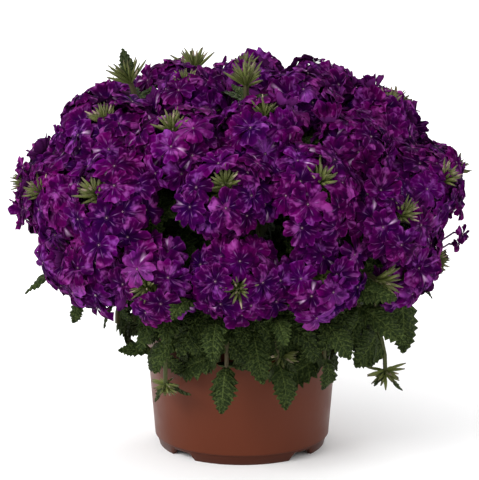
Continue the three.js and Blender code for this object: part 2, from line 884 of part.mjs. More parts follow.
// Opposite leaves along a stalk or shoot, their upper sides turned towards face, and each bent or
// shortened until it is clear of the rest
function addLeaves(stem, points, marks, size, face) {
  for (const [share, seed] of marks) {
    const step = share * (points.length - 1);
    const before = Math.min(Math.floor(step), points.length - 2);
    const root = mix(points[before], points[before + 1], step - before);
    const forward = points[before + 1].clone().sub(points[before]).normalize();
    const across = squareTo(sideways(forward), forward);
    for (const sign of [-1, 1]) {
      const length = size * drawBetween(0.85, 1.15, seed + sign);
      const made = leafBends.map(([lift, droop, scale]) => () => {
        const direction = across.clone().multiplyScalar(sign).addScaledVector(forward, lift);
        direction.addScaledVector(up, 0.12).normalize();
        const normal = squareTo(face, direction);
        const long = length * scale;
        const wide = long * leafShape;
        return leaf(root, direction, normal, long, wide, droop, seed * 7 + sign);
      });
      keepLeaf(stem, made);
    }
  }
}

// Keeps the first of the leaves tried that crosses no other leaf of its stem and clears the rest
function keepLeaf(stem, makers) {
  for (const maker of makers) {
    const solid = maker();
    const box = solid.boundingBox();
    const free = stem.leaves.every((other) => (
      apart(box, other.box, 0) || solid.intersect(other.solid).isEmpty()));
    if (free && isClear(solid, stem.owner)) {
      stem.leaves.push({ solid, box });
      stand(solid, stem.owner);
      return;
    }
  }
}

// Every bud stalk is leafy, and some of the flower stalks are
function addStalkLeaves(stem) {
  stem.runs.forEach(({ points, one }) => {
    const seed = one.index * 3.7 + 50;
    const budMarks = [[0.95, seed], [0.6, seed + 1]];
    if (one.kind === 'bud') addLeaves(stem, points, budMarks, stalkLeafLength, up);
    else if (draw(seed) < leafyStalkShare) {
      addLeaves(stem, points, [[0.55, seed]], stalkLeafLength, up);
    }
  });
}

// The plant

const plant = new THREE.Group();

function finish(color, roughness) {
  return new THREE.MeshStandardMaterial({ color, roughness, metalness: 0 });
}

const terracottaPlastic = finish(0x7a4432, 0.45);
const darkSoil = finish(0x2c211b, 1);
const petalPurple = finish(0x4d1254, 0.7);
const leafGreen = finish(0x3d4a2a, 0.8);

function add(name, solid, material) {
  const mesh = new THREE.Mesh(geometryOf(solid), material);
  mesh.name = name;
  plant.add(mesh);
}

function numbered(name, index) {
  return `${name}_${String(index + 1).padStart(2, '0')}`;
}

const spots = allSpots().map(finishSpot);
const heads = spots.filter((one) => one.kind === 'bloom');
const potSolid = stand(pot(), 'pot');
const headSolids = grownHeads(heads);
heads.forEach((head, index) => stand(headSolids[index], `head_${head.index}`));

const stems = stemShares(spots).map(stemOf);
const stemHoles = wasm.Manifold.union(stems.map(stemHole));
const soilSolid = stand(soilBody().subtract(stemHoles), 'soil');
stems.forEach(addStalks);
rimShoots.forEach(addLeafyShoot);
stems.forEach(addStalkLeaves);

add('pot', potSolid, terracottaPlastic);
add('soil', soilSolid, darkSoil);
headSolids.forEach((solid, index) => add(numbered('head', index), solid, petalPurple));
stems.forEach((stem, index) => {
  const whole = wasm.Manifold.union([...stem.solids, ...stem.leaves.map((one) => one.solid)]);
  add(numbered('stem', index), largestPiece(whole).simplify(fuseTolerance), leafGreen);
});

export default plant;
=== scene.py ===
from math import cos, floor, hypot, pi, radians, sin, sqrt
from types import SimpleNamespace

import bpy
import numpy as np
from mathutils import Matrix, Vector
from numpy.linalg import norm


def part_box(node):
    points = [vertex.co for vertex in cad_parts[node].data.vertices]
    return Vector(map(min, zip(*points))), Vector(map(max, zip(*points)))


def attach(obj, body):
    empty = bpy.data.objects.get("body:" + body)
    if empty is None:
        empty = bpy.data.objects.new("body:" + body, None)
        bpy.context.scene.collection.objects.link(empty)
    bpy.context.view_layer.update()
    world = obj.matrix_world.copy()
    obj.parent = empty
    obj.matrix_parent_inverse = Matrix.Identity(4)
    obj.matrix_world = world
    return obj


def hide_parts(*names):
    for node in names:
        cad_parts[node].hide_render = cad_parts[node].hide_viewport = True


# A potted garden verbena in full flower. The rules below work in millimetres, +Z up and the
# front of the plant towards -Y. Each piece is turned into metres when its mesh is made.

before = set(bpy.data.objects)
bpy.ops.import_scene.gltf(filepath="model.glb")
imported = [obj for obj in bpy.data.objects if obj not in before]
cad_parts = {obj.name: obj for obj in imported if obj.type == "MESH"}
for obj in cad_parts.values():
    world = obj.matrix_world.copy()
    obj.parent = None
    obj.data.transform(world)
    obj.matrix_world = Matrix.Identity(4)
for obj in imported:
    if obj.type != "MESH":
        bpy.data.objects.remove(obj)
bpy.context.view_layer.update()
scene = bpy.context.scene
MM = 0.001

# Sizes taken from the frame

POT_RIM_RADIUS, _, POT_HEIGHT = np.array(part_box("pot")[1]) / MM

# Driving dimensions

POT_WALL = 1.6
LIP_HEIGHT = 5
LIP_REACH = 2.1
STEP_RING_RADIUS = 56.5
STEP_RING_HEIGHT = 7.2
FOOT_RADIUS = 53.6
FOOT_WIDTH = 2.8
FLOOR_UNDER = 5
FLOOR_THICKNESS = 1.8
NOTCH_HEIGHT = 4.6
NOTCH_TOP_HALF_ANGLE = 7
NOTCH_FOOT_HALF_ANGLE = 11
DRAIN_HOLES = 4
DRAIN_HOLE_RADIUS = 5
DRAIN_HOLE_CIRCLE = 36

SOIL_LEVEL = 80
SOIL_CROWN = 2.5
STEM_HOLE_FLOOR = 52
CLEARANCE = 0.35

CANOPY_CENTRE = 156
CANOPY_RADIUS = 147
CANOPY_RISE = 98
CANOPY_DROP = 80
CANOPY_POWER = 2.05
CANOPY_SHIFT = np.array([0.5, -2.5, 0])
HEAD_COUNT = 44
HEAD_DEPTH = 25
HEAD_ROOM = 25.6
HEAD_UPLIFT = 0.04
LOWER_TILT = 0.3
BUD_ROOM = 12
BUD_PULL = 0.3
LOWEST_HEAD = 128
FRONT_LIFT = 9
EASING_ROUNDS = 400
EASING_PUSH = 0.3

MAIN_STEM_RADIUS = 2.6
STALK_RADIUS = 1.7
SHOOT_RADIUS = 1.53
STEM_GROUPS = 14
SHARING_ROUNDS = 12
CROWN_SPREAD = 27
CROWN_DEPTH = 6
COLLAR_HEIGHT = 5
FORK_SHARE = 0.42
ELBOW_SHARE = 0.14
BRANCHING_SHARE = 1.06
BRANCHING_STEP = 0.2
NECK_LENGTH = 7
STALK_LEAF_LENGTH = 36
LEAF_SHAPE = 0.52
LEAF_SCATTER = (0.85, 1.15)
HEAD_TUFT_HEIGHT = 10.5
PLAIN_HEAD_HEIGHT = 6
BUD_TUFT_SIZE = 1.45
GOLDEN_TURN = 137.508

# Flower heads seen from the front: turn round the pot's axis in degrees, 0 at the front and
# positive to the right, height of the centre, and whether a bud tuft stands in it

FRONT_HEADS = [
    (-102, 136, True), (-74, 132, False), (-46, 130, False), (-18, 140, True), (12, 142, True),
    (64, 130, False), (90, 136, True),
    (-86, 170, True), (-59, 172, True), (-33, 174, True), (-5, 182, True), (23, 180, True),
    (50, 172, True), (76, 174, True),
    (-98, 205, False), (-45, 205, True), (-13, 214, True), (22, 212, True), (54, 205, False),
    (86, 206, True),
    (-70, 218, True), (-3, 228, True), (112, 222, False),
]

# Unopened bud heads on leafy tips: turn, height and how far each stands out of the canopy

BUD_TIPS = [
    (38, 134, 2), (-75, 214, 13), (-28, 224, 8), (-158, 218, 6), (150, 150, 2), (-128, 152, 2),
]

# Leafy shoots over the pot's rim: turn, how far out they hang, the height of their tip, the size
# of its bud tuft, if any, and the length of their leaves

RIM_SHOOTS = [
    (-39, 74, 54, 0.9, 34), (-12, 68, 72, 0, 40), (20, 69, 74, 1, 40), (43, 70, 66, 0, 38),
    (68, 96, 56, 1.1, 36), (98, 82, 80, 0, 36), (140, 76, 62, 1, 36), (-178, 72, 72, 0, 38),
    (-140, 76, 60, 1, 36), (-98, 80, 76, 0, 36),
]

# Smaller shoots fill the rim, hanging and standing by turns. For each kind: how far out it
# reaches, how much less at the sides, the height of its tip, where along it the leaves stand,
# and their length and droop. A part of the rim on the left stays bare.

RIM_FILLERS = 30
FIRST_FILLER = -175
BARE_RIM = (-85, -50)
FILLER_KINDS = [
    ((70, 78), 0, (62, 84), (0.45, 0.64, 0.8, 0.95), 34, (60, 120)),
    ((70, 84), 8, (92, 106), (0.35, 0.6, 0.8, 0.98), 37, (40, 95)),
]

# Leaves placed one by one, at the canopy's edge, by the rim and between the lowest heads: turn, distance
# from the axis and height of the foot, length, droop in degrees, how steeply they start, and how far
# they face the front

LOOSE_LEAVES = [
    (-92, 116, 114, 32, 45, -0.2, 0.2), (-86, 105, 95, 19, 40, -4, 2),
    (82, 103, 102, 44, 25, -7, 2), (86, 112, 106, 15, 40, -0.3, 0),
    (-64, 65, 69, 22, 30, 0.2, 1.5), (178, 108, 112, 26, 60, -0.6, 0),
    (-15, 118, 124, 28, 70, 0.3, 1.2), (-8, 108, 110, 34, 60, -0.2, 1.2),
    (10, 114, 112, 28, 70, 0.1, 1.2), (33, 118, 126, 36, 60, 0.3, 1.2),
    (38, 116, 113, 40, 60, -0.1, 1.2), (27, 108, 106, 34, 60, -0.2, 1.2),
]

# Florets outside the canopy on thin stalks: turn, distance from the axis, height and size

LONE_FLORETS = [(88, 142, 139, 0.55), (89, 139, 131, 0.35), (-84, 140, 184, 0.6)]

# How a stalk may bend, and how a leaf may leave its stem. The frame's solids tell which of
# these was used. A leaf is theirs if they have a corner this near its tip.

STALK_BENDS = [(16, 0), (22, 0), (11, 0), (26, 6), (16, -6), (30, 0), (6, 4), (22, -10), (34, 10)]
LEAF_BENDS = [
    (0.45, 50, 1), (0.9, 70, 1), (0.1, 35, 0.9), (0.7, 25, 0.8), (0.3, 95, 0.8), (1.4, 60, 0.75),
]
SAME_PLACE = 0.3

UP = np.array([0.0, 0.0, 1.0])
RIGHT = np.array([1.0, 0.0, 0.0])


# Vectors

def unit(vector):
    return vector / norm(vector)


def heading(turn):
    angle = radians(turn)
    return np.array([sin(angle), -cos(angle), 0.0])


def sideways(direction):
    level = hypot(direction[0], direction[1])
    if level < 0.001:
        return RIGHT
    return np.array([-direction[1] / level, direction[0] / level, 0.0])


def square_to(side, direction):
    return unit(side - direction * np.dot(side, direction))


def leaned(axis, side, lean, turn):
    """The direction that leans away from axis by lean degrees, towards the turn round it."""
    across = np.cross(axis, side)
    out = side * cos(radians(turn)) + across * sin(radians(turn))
    return axis * cos(radians(lean)) + out * sin(radians(lean))


def draw_between(low, high, seed):
    """A number that only the seed decides, by the same rule as in the frame's solids."""
    wave = sin(seed * 12.9898 + 4.1414) * 43758.5453
    return low + (high - low) * (wave - floor(wave))


def bezier(start, first, second, end, steps):
    t = np.linspace(0, 1, steps + 1)[:, None]
    s = 1 - t
    return s ** 3 * start + 3 * s * s * t * first + 3 * s * t * t * second + t ** 3 * end


# Where the flower heads and bud tips stand

SPOT_RADIUS = CANOPY_RADIUS - HEAD_DEPTH
SPOT_RISE = CANOPY_RISE - HEAD_DEPTH
SPOT_DROP = CANOPY_DROP - HEAD_DEPTH


def half_height(height):
    return np.where(height > CANOPY_CENTRE, SPOT_RISE, SPOT_DROP)


def canopy_spot(turn, height):
    rise = abs(height - CANOPY_CENTRE) / half_height(height)
    across = max(0, 1 - rise ** CANOPY_POWER) ** (1 / CANOPY_POWER)
    spot = heading(turn) * across * SPOT_RADIUS
    spot[2] = height
    return spot


def onto_canopy(points):
    arms = points - UP * CANOPY_CENTRE
    level = (np.hypot(arms[:, 0], arms[:, 1]) / SPOT_RADIUS) ** CANOPY_POWER
    level += (abs(arms[:, 2]) / half_height(points[:, 2])) ** CANOPY_POWER
    return UP * CANOPY_CENTRE + arms * level[:, None] ** (-1 / CANOPY_POWER)


def canopy_facing(point):
    """Where the canopy faces, but the lowest heads hang their faces only a little."""
    half = half_height(point[2])
    across = hypot(point[0], point[1]) / SPOT_RADIUS
    rise = (point[2] - CANOPY_CENTRE) / half
    out = across ** (CANOPY_POWER - 1) / SPOT_RADIUS
    tilt = 1 if rise > 0 else -LOWER_TILT
    tall = tilt * abs(rise) ** (CANOPY_POWER - 1) / half
    level = unit(np.array([point[0], point[1], 0.0]))
    return unit(level * out + UP * tall)


def lowest_at(points):
    """The lowest heads at the front hang less deep than those at the sides."""
    front = np.maximum(0, -points[:, 1]) / np.hypot(points[:, 0], points[:, 1])
    return LOWEST_HEAD + FRONT_LIFT * front ** 2


def spare_places():
    tries = 500
    top = CANOPY_CENTRE + SPOT_RISE - 1
    for index in range(tries):
        height = LOWEST_HEAD + (top - LOWEST_HEAD) * ((index + 0.5) / tries) ** 0.9
        yield canopy_spot(index * GOLDEN_TURN, height)


def ease_apart(places, rooms, pulls):
    """Each spot moves away from those that stand closer than both their rooms."""
    for _ in range(EASING_ROUNDS):
        arms = places[None, :] - places[:, None]
        gaps = norm(arms, axis=2)
        np.fill_diagonal(gaps, 1e9)
        short = np.maximum(rooms[None, :] + rooms[:, None] - gaps, 0) * EASING_PUSH
        pushes = -(arms * (short / gaps)[:, :, None]).sum(axis=1) * pulls[:, None]
        moved = places + pushes
        moved[:, 2] = np.maximum(moved[:, 2], lowest_at(moved))
        places = onto_canopy(moved)
    return places


def new_spot(place, tufted, proud=0, bud=False):
    room, pull = (BUD_ROOM, BUD_PULL) if bud else (HEAD_ROOM, 1.0)
    return SimpleNamespace(place=place, tufted=tufted, proud=proud, bud=bud, room=room, pull=pull)


def gathered(spots, key):
    return np.array([getattr(one, key) for one in spots])


def all_spots():
    spots = [new_spot(canopy_spot(turn, height), tufted) for turn, height, tufted in FRONT_HEADS]
    spots += [new_spot(canopy_spot(turn, height), True, proud, True) for turn, height, proud in BUD_TIPS]
    spare = np.array(list(spare_places()))
    while len(spots) < HEAD_COUNT + len(BUD_TIPS):
        gaps = norm(spare[:, None] - gathered(spots, "place")[None], axis=2)
        widest = (gaps - gathered(spots, "room")).min(axis=1).argmax()
        spots.append(new_spot(spare[widest], len(spots) % 2 == 0))
    places = ease_apart(*(gathered(spots, key) for key in ("place", "room", "pull")))
    for index, one in enumerate(spots):
        one.index = index
        one.facing = unit(canopy_facing(places[index]) + UP * HEAD_UPLIFT)
        one.side = sideways(one.facing)
        one.place = places[index] + one.facing * one.proud + CANOPY_SHIFT
    return spots


def node_points(name):
    """The corners of a CAD node in millimetres."""
    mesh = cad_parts[name].data
    points = np.empty(len(mesh.vertices) * 3, np.float32)
    mesh.vertices.foreach_get("co", points)
    return points.reshape(-1, 3).astype(float) / MM


def measure_heads(heads):
    """How far each head of the frame reaches sideways from its axis."""
    for number, head in enumerate(heads, 1):
        head.node = f"head_{number:02d}"
        arms = node_points(head.node) - head.place
        forward = arms @ head.facing
        head.reach = norm(arms - forward[:, None] * head.facing, axis=1).max()


# Stems: the heads are shared out by the direction they lie in, seen from the plant's crown

CROWN = UP * (SOIL_LEVEL - CROWN_DEPTH)


def stem_shares(spots):
    directions = np.array([unit(one.place - CROWN) for one in spots])
    middles = directions[:1]
    while len(middles) < STEM_GROUPS:
        lonely = (directions @ middles.T).max(axis=1)
        middles = np.vstack([middles, directions[lonely.argmin()]])
    for _ in range(SHARING_ROUNDS):
        nearest = (directions @ middles.T).argmax(axis=1)
        for group in range(STEM_GROUPS):
            if (nearest == group).any():
                middles[group] = unit(directions[nearest == group].sum(axis=0))
    return nearest, middles


def stem_routes(spots):
    nearest, middles = stem_shares(spots)
    stems = []
    for group, middle in enumerate(middles):
        members = [one for one, share in zip(spots, nearest) if share == group]
        members.sort(key=lambda one: -np.dot(unit(one.place - CROWN), middle))
        foot = middle * CROWN_SPREAD
        foot[2] = STEM_HOLE_FLOOR + CLEARANCE
        collar = np.array([foot[0], foot[1], SOIL_LEVEL + COLLAR_HEIGHT])
        reach = min(norm(one.place - collar) for one in members)
        fork = collar + middle * reach * FORK_SHARE
        elbow = (collar + UP * reach * ELBOW_SHARE + fork) / 2
        node = f"stem_{group + 1:02d}"
        stems.append(SimpleNamespace(
            node=node, corners=node_points(node), members=members, middle=middle, foot=foot,
            collar=collar, elbow=elbow, fork=fork, paths=[]))
    return stems


def nearness(corners, point, count=1):
    """The distances of the nearest corners of a solid from a point."""
    return np.sort(norm(corners - point, axis=1))[:count]


def stalk_route(stem, one, place, pull, spread):
    """From the stem's fork to a head's neck. The stalks after the first start further down."""
    below = stem.elbow + (stem.fork - stem.elbow) * (BRANCHING_SHARE - BRANCHING_STEP * place)
    start = below if place else stem.fork
    neck = one.place - one.facing * NECK_LENGTH
    before = neck - one.facing * pull
    aim = unit(before - start) if place else stem.middle
    bend = start + aim * pull + UP * spread
    return lambda steps: bezier(start, bend, before, neck, steps)


def find_stalk(stem, one, place):
    """The route whose middle lies inside the solid stalk of the frame."""
    def misfit(route):
        return abs(nearness(stem.corners, route(2)[1], 4) - STALK_RADIUS).sum()
    routes = [stalk_route(stem, one, place, *bend) for bend in STALK_BENDS]
    return min(routes, key=misfit)


def shoot_route(stem, turn, reach, height):
    """Out from the stem, over the pot's rim and down to the shoot's tip."""
    out = heading(turn)
    start = stem.collar + (stem.elbow - stem.collar) * 0.3
    over = out * (POT_RIM_RADIUS - 12) + UP * (POT_HEIGHT + 26)
    edge = out * (reach + 4) + UP * (POT_HEIGHT + 16)
    end = out * (reach + 2) + UP * height
    return lambda steps: bezier(start, over, edge, end, steps)


def leaf_tip(root, direction, face, length, droop):
    bend = radians(droop)
    above = np.cross(unit(np.cross(direction, square_to(face, direction))), direction)
    forward = length / bend * sin(bend)
    down = length / bend * (1 - cos(bend))
    return root + direction * forward - above * down


def on_path(points, share):
    """The place at a share of a path, the way the path runs there and a way square to it."""
    step = share * (len(points) - 1)
    before = min(int(step), len(points) - 2)
    way = points[before + 1] - points[before]
    forward = unit(way)
    return points[before] + way * (step - before), forward, square_to(sideways(forward), forward)


def find_leaves(stem, points, marks, size, face):
    """The opposite leaves along a stalk that the frame's solid has too."""
    for share, seed in marks:
        root, forward, across = on_path(points, share)
        for sign in (-1, 1):
            grown = size * draw_between(*LEAF_SCATTER, seed + sign)
            for lift, droop, scale in LEAF_BENDS:
                direction = unit(across * sign + forward * lift + UP * 0.12)
                leaf = root, direction, face, grown * scale, droop
                if nearness(stem.corners, leaf_tip(*leaf))[0] < SAME_PLACE:
                    yield leaf
                    break


spots = all_spots()
heads = [one for one in spots if not one.bud]
measure_heads(heads)
stems = stem_routes(spots)


def put_in_scene(name, data):
    thing = bpy.data.objects.new(name, data)
    scene.collection.objects.link(thing)
    return thing


# Meshes are gathered as triangles. Each point carries four marks from 0 to 1 for the finishes:
# how far along its petal or leaf it lies, a pattern across it, its underside, and a tint.

class Shape:
    def __init__(self, seed=0):
        self.rng = np.random.default_rng(seed)
        self.vary = self.rng.uniform
        self.points, self.faces, self.kinds, self.marks = [], [], [], []
        self.count = 0

    def add(self, points, faces, kind, marks):
        """Parts that share one form: the points of each part, and the faces of one."""
        parts, each = points.shape[:2]
        starts = self.count + np.arange(parts) * each
        self.points.append(points.reshape(-1, 3))
        self.faces.append((faces + starts[:, None, None]).reshape(-1, 3))
        self.kinds.append(np.full(parts * len(faces), kind))
        self.marks.append(np.broadcast_to(marks, (parts, each, 4)).reshape(-1, 4))
        self.count += parts * each

    def plain(self, name):
        mesh = bpy.data.meshes.new(name)
        mesh.from_pydata(np.concatenate(self.points) * MM, [], np.concatenate(self.faces))
        return put_in_scene(name, mesh)

    def piece(self, name, finishes, slot, nodes, sharp=55):
        piece = self.plain(name)
        mesh = piece.data
        for finish in finishes:
            mesh.materials.append(finish)
        mesh.polygons.foreach_set("material_index", np.concatenate(self.kinds))
        marks = mesh.color_attributes.new("marks", "FLOAT_COLOR", "POINT")
        marks.data.foreach_set("color", np.concatenate(self.marks).astype(np.float32).ravel())
        mesh.shade_smooth()
        mesh.set_sharp_from_angle(angle=radians(sharp))
        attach(piece, "root")
        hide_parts(*nodes)
        return piece


def marked(sizes, along, across, tint):
    """The marks of a grid of points that lie on an upper side."""
    marks = np.zeros((*sizes, 4))
    marks[..., 0] = along
    marks[..., 1] = across
    marks[..., 3] = tint
    return marks


def shell_faces(rows, columns):
    """The triangles of a thin closed blade: an upper and a lower grid that share their rim."""
    upper = np.arange(rows * columns).reshape(rows, columns)
    lower = upper.copy()
    inner = np.arange((rows - 2) * (columns - 2)).reshape(rows - 2, columns - 2)
    lower[1:-1, 1:-1] = rows * columns + inner
    row, column = np.indices((rows - 1, columns - 1)).reshape(2, -1)
    same = ((row < rows // 2) == (column < columns // 2))[:, None]

    def triangles(grid):
        a, b = grid[:-1, :-1].ravel(), grid[1:, :-1].ravel()
        d, c = grid[:-1, 1:].ravel(), grid[1:, 1:].ravel()
        first = np.where(same, np.stack([a, b, c], 1), np.stack([a, b, d], 1))
        second = np.where(same, np.stack([a, c, d], 1), np.stack([b, c, d], 1))
        return np.concatenate([first, second])

    return np.concatenate([triangles(upper), triangles(lower)[:, ::-1]])


def add_blades(shape, upper, thickness, kind, marks):
    """Thin closed blades. Their upper sides are grids of points: blade, row, column, xyz."""
    blades, rows, columns = upper.shape[:3]
    lower = (upper - thickness)[:, 1:-1, 1:-1]
    under = marks[:, 1:-1, 1:-1].copy()
    under[..., 2] = 1
    points = np.concatenate([upper.reshape(blades, -1, 3), lower.reshape(blades, -1, 3)], axis=1)
    marks = np.concatenate([marks.reshape(blades, -1, 4), under.reshape(blades, -1, 4)], axis=1)
    shape.add(points, shell_faces(rows, columns), kind, marks)


def skin(grid):
    """The triangles between rings of points, whose numbers are the rows of the grid."""
    after = np.roll(grid, -1, axis=1)
    a, b, c, d = grid[:-1].ravel(), after[:-1].ravel(), after[1:].ravel(), grid[1:].ravel()
    return [np.stack([a, b, c], 1), np.stack([a, c, d], 1)]


def add_tubes(shape, paths, radii, ribs, kind, tint, tooth=0):
    """Closed tubes along paths (tube, point, xyz). ribs is the section's shape, a share of the
    radius for each of its sides, and tooth is how far the ribs run on past the tube's end."""
    tubes, steps = paths.shape[:2]
    sides = len(ribs)
    ribs = np.asarray(ribs, float)
    forward = np.gradient(paths, axis=1)
    forward /= norm(forward, axis=2, keepdims=True)
    overall = paths[:, -1] - paths[:, 0]
    leaning = abs(overall[:, 2:]) < 0.9 * norm(overall, axis=1)[:, None]
    guide = np.cross(overall, np.where(leaning, UP, RIGHT))
    first = np.cross(forward, guide[:, None])
    first /= norm(first, axis=2, keepdims=True)
    second = np.cross(forward, first)
    angles = 2 * pi * np.arange(sides) / sides
    radii = np.broadcast_to(radii, (tubes, steps))[:, :, None, None]
    arms = first[:, :, None] * (np.cos(angles) * ribs)[:, None]
    arms = arms + second[:, :, None] * (np.sin(angles) * ribs)[:, None]
    rings = paths[:, :, None] + arms * radii
    strong = (ribs >= ribs.max())[:, None]
    rings[:, -1] += forward[:, -1, None] * tooth * strong
    grid = np.arange(steps * sides).reshape(steps, sides)
    fan = np.arange(1, sides - 1)
    foot = np.stack([fan * 0, fan + 1, fan], 1)
    end = np.stack([fan * 0, fan, fan + 1], 1) + grid[-1, 0]
    faces = np.concatenate([*skin(grid), foot, end])
    marks = marked((tubes, steps, sides), np.linspace(0, 1, steps)[:, None], ribs / ribs.max(),
                   np.broadcast_to(tint, tubes)[:, None, None])
    shape.add(rings.reshape(tubes, -1, 3), faces, kind, marks.reshape(tubes, -1, 4))


# Flower heads

PETALS, CALYX, TUBE = 0, 1, 2
PETAL_COUNT = 5
PETAL_TURN = 72
PETAL_STATIONS = np.array([0, 0.36, 0.7, 0.91, 1])
PETAL_COLUMNS = 9
PETAL_THICKNESS = 0.3
FLORET_RADIUS = 13.1
FLORET_SPACING = 20.6
USUAL_REACH = 31
HEAD_WIDTH = 0.85
HEAD_HEIGHT = 20
HEAD_FOOT = 5
RING_LEANS = (32, 61, 88)
TUFTED_LEANS = (41, 65, 89)
HEAD_TUFT_FOOT = HEAD_TUFT_HEIGHT + 5.5
CALYX_BENDS = ((0, 0), (0.3, 0), (0.62, 0.3), (0.85, 0.7), (1, 1))
YOUNG_SHARE = 0.03
YOUNG_CUP = 0.7


def petal_grids(shape, radius, cups):
    """The five petals of each floret, round +Z: floret, petal, row, column, xyz."""
    count = len(radius)

    def vary(low, high):
        return shape.vary(low, high, (count, PETAL_COUNT, 1, 1))

    along = PETAL_STATIONS[:, None]
    across = np.linspace(-1, 1, PETAL_COLUMNS)
    spin = shape.vary(0, PETAL_TURN, (count, 1, 1, 1))
    spin = spin + PETAL_TURN * np.arange(PETAL_COUNT)[None, :, None, None]
    middle = np.radians(spin + vary(-8, 8))
    length = radius[:, None, None, None] * vary(0.85, 1.07)
    half = np.radians(37 + 5 * along - 5 * along ** 4) * vary(0.92, 1.08)
    notch = vary(0.06, 0.22) * np.exp(-(across / 0.2) ** 2)
    frill = 0.05 * np.sin(vary(6, 10) * across + vary(0, 2 * pi))
    tip = 1 - notch - 0.1 * across ** 2 - 0.28 * across ** 6 + frill
    reach = 0.07 + 0.93 * along * (1 - (1 - tip) * along ** 1.5)
    angle = middle + across * half
    cup = cups[:, None, None, None] + vary(-0.15, 0.15)
    ruffle = vary(0.04, 0.12) * along ** 1.3
    wave = np.sin(across * vary(4, 8) + vary(0, 2 * pi))
    curl = vary(-0.2, 0.1) * across ** 2 * along - vary(0, 0.16) * along ** 4
    crease = vary(0.02, 0.12) * along * np.exp(-(across / 0.25) ** 2)
    twist = vary(-0.05, 0.15) * across * along
    throat = 0.12 * (1 - along) ** 3
    rise = cup * along ** 1.6 + ruffle * wave + curl - crease + twist - throat
    flat = length * reach * (1 - 0.35 * cup ** 2 * along)
    return np.stack([flat * np.cos(angle), flat * np.sin(angle), length * rise], axis=-1)


def dome_florets(shape, head):
    """Where the florets of a head stand and face, in rings that lean further and further out."""
    wide = HEAD_WIDTH * head.reach
    tall = HEAD_HEIGHT * sqrt(head.reach / USUAL_REACH)
    roundness = 0.55 + 0.3 * max(0, head.facing[2]) ** 2
    rings = [] if head.tufted else [(3, 1)]
    for lean in TUFTED_LEANS if head.tufted else RING_LEANS:
        around = 2 * pi * wide * sin(radians(lean))
        rings.append((lean, max(4, round(around / FLORET_SPACING))))
    for lean, count in rings:
        start = shape.vary(0, 360)
        for index in range(count):
            turn = start + (index + shape.vary(-0.2, 0.2)) * 360 / count
            here = lean + shape.vary(-10, 10)
            out = leaned(head.facing, head.side, 90, turn)
            grown = shape.vary(0.84, 1.08)
            level = wide * sin(radians(here)) * grown
            height = HEAD_FOOT + tall * cos(radians(here)) * grown
            tilt = here * roundness + shape.vary(-14, 14)
            facing = leaned(head.facing, head.side, tilt, turn + shape.vary(-16, 16))
            yield head.place + out * level + head.facing * height, facing, 1.0


def lone_florets(head):
    """The florets outside the canopy that grow from this head."""
    for turn, reach, height, size in LONE_FLORETS:
        centre = heading(turn) * reach + UP * height
        if head is min(heads, key=lambda one: norm(one.place - centre)):
            yield centre, unit(heading(turn) + heading(0) * 0.8), size


def add_florets(shape, head):
    florets = [*dome_florets(shape, head), *lone_florets(head)]
    centres, facings, sizes = (np.array(part) for part in zip(*florets))
    count = len(centres)
    radius = FLORET_RADIUS * sizes * shape.vary(0.93, 1.06, count) * (head.reach / USUAL_REACH) ** 0.3
    cups = shape.vary(-0.26, 0.08, count)
    cups[shape.vary(0, 1, count) < YOUNG_SHARE] += YOUNG_CUP
    sides = np.array([square_to(sideways(facing), facing) for facing in facings])
    backs = np.cross(facings, sides)
    local = petal_grids(shape, radius, cups)
    axes = [axis[:, None, None, None] for axis in (sides, backs, facings)]
    upper = centres[:, None, None, None] + sum(local[..., k, None] * axes[k] for k in range(3))
    tint = np.clip(shape.rng.normal(shape.vary(0.35, 0.65), 0.22, count), 0, 1)
    petal_tint = np.clip(tint[:, None] + shape.rng.normal(0, 0.14, (count, PETAL_COUNT)), 0, 1)
    marks = marked(local.shape[:-1], PETAL_STATIONS[:, None], np.linspace(0, 1, PETAL_COLUMNS),
                   petal_tint[..., None, None])
    thickness = np.repeat(facings, PETAL_COUNT, axis=0)[:, None, None] * PETAL_THICKNESS
    add_blades(shape, np.concatenate(upper), thickness, PETALS, np.concatenate(marks))

    # The corolla tube runs from the throat into a calyx that stands on the head's core
    throats = centres - facings * (radius * 0.1)[:, None]
    cores = head.place + head.facing * shape.vary(2, 9, count)[:, None]
    collars = cores + (throats - cores) * 0.45
    before = throats - facings * 7
    tubes = np.stack([collars, (collars + before) / 2, before, throats], axis=1)
    add_tubes(shape, tubes, [0.7, 0.65, 0.7, 0.65], [1] * 4, TUBE, tint)
    waists = cores + (collars - cores) * 0.6
    calyces = np.stack([cores, waists, collars, collars + (before - collars) * 0.1], axis=1)
    add_tubes(shape, calyces, [0.5, 1, 1.2, 1], [1] * 4, CALYX, tint)


def add_tuft(shape, tip, facing, side, size, count, spread, stout=1):
    """A star of ribbed, toothed calyces, the youngest and shortest ones in its middle."""
    start = shape.vary(0, 360)
    paths, tints = [], []
    for index in range(count):
        share = sqrt((index + 0.4) / count)
        turn = start + index * GOLDEN_TURN + shape.vary(-12, 12)
        out = leaned(facing, side, spread * share + shape.vary(-11, 11), turn)
        length = size * (7 + 4 * share + shape.vary(-2, 2))
        root = tip + facing * size * (1.5 - 3.5 * share) + out * size * 1.2
        bend = leaned(facing, side, 90, turn) * length * shape.vary(0.02, 0.14)
        paths.append([root + out * length * far + bend * share for far, share in CALYX_BENDS])
        tints.append(shape.vary(0, 1))
    radii = np.array([0.4, 0.7, 0.82, 0.62, 0.25]) * size * stout
    add_tubes(shape, np.array(paths), radii, [1, 0.62] * 4, CALYX, np.array(tints), tooth=1.5 * size)


def add_core(shape, head):
    """The thick end of the stalk that the florets of a head grow from."""
    top = HEAD_TUFT_FOOT if head.tufted else 10
    path = np.array([[head.place + head.facing * height for height in (0.5, 3, 7, top)]])
    add_tubes(shape, path, [1.6, 2.6, 2.4, 1.2], [1] * 8, CALYX, 0.3)


# Leaves

LEAF, STEM = 0, 2
LEAF_THICKNESS = 0.4


